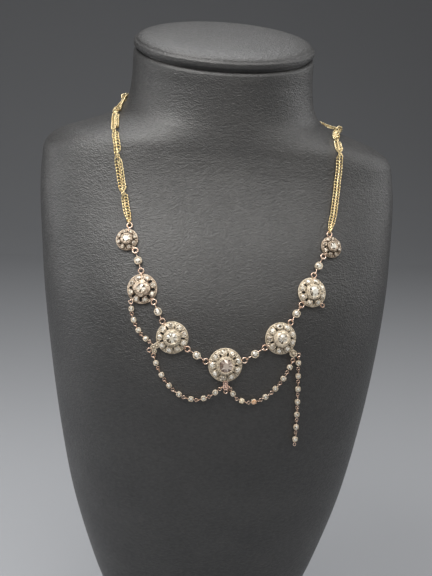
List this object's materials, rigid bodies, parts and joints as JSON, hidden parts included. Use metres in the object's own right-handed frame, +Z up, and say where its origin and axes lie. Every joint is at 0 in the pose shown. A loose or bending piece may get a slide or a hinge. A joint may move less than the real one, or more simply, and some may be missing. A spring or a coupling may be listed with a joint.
{
  "type": "festoon cluster necklace on a neck bust",
  "caption": "Graduated flower clusters with festoon strings of small stones on a double chain, laid on a dark leather-covered neck bust.",
  "frame": {"origin": "middle of the bounding box's underside, on the surface that the bust stands on", "axes": "+Z up; the bust's chest faces -Y; +X is to the right as the viewer faces it"},
  "size_m": [0.196, 0.138, 0.3583],
  "materials": {
    "leather_cover": "fine pebbled, soft sheen",
    "silver": "aged silver, warm",
    "rose_gold": "polished, worn",
    "pale_gold": "polished",
    "stones": "faceted, old-cut"
  },
  "bodies": {
    "root": {"bust": "leather_cover", "bust_cap": "leather_cover", "clasp": "pale_gold", "left_end_ring": "pale_gold", "right_end_ring": "pale_gold", "left_strand_inner": "pale_gold", "left_strand_outer": "pale_gold", "right_strand_inner": "pale_gold", "right_strand_outer": "pale_gold", "upper_left_string": "rose_gold", "lower_left_string": "rose_gold", "lower_right_string": "rose_gold", "loose_string": "rose_gold", "upper_left_string_stones": "stones", "lower_left_string_stones": "stones", "lower_right_string_stones": "stones", "loose_string_stones": "stones", "cluster_1": "silver", "cluster_2": "silver", "cluster_3": "silver", "cluster_4": "silver", "cluster_5": "silver", "cluster_6": "silver", "cluster_7": "silver", "cluster_1_centre_stone": "stones", "cluster_2_centre_stone": "stones", "cluster_3_centre_stone": "stones", "cluster_4_centre_stone": "stones", "cluster_5_centre_stone": "stones", "cluster_6_centre_stone": "stones", "cluster_7_centre_stone": "stones", "cluster_1_petal_stones": "stones", "cluster_2_petal_stones": "stones", "cluster_3_petal_stones": "stones", "cluster_4_petal_stones": "stones", "cluster_5_petal_stones": "stones", "cluster_6_petal_stones": "stones", "cluster_7_petal_stones": "stones", "connector_1": "rose_gold", "connector_2": "rose_gold", "connector_3": "rose_gold", "connector_4": "rose_gold", "connector_5": "rose_gold", "connector_6": "rose_gold", "connector_1_stone": "stones", "connector_2_stone": "stones", "connector_3_stone": "stones", "connector_4_stone": "stones", "connector_5_stone": "stones", "connector_6_stone": "stones"}
  },
  "joints": []
}
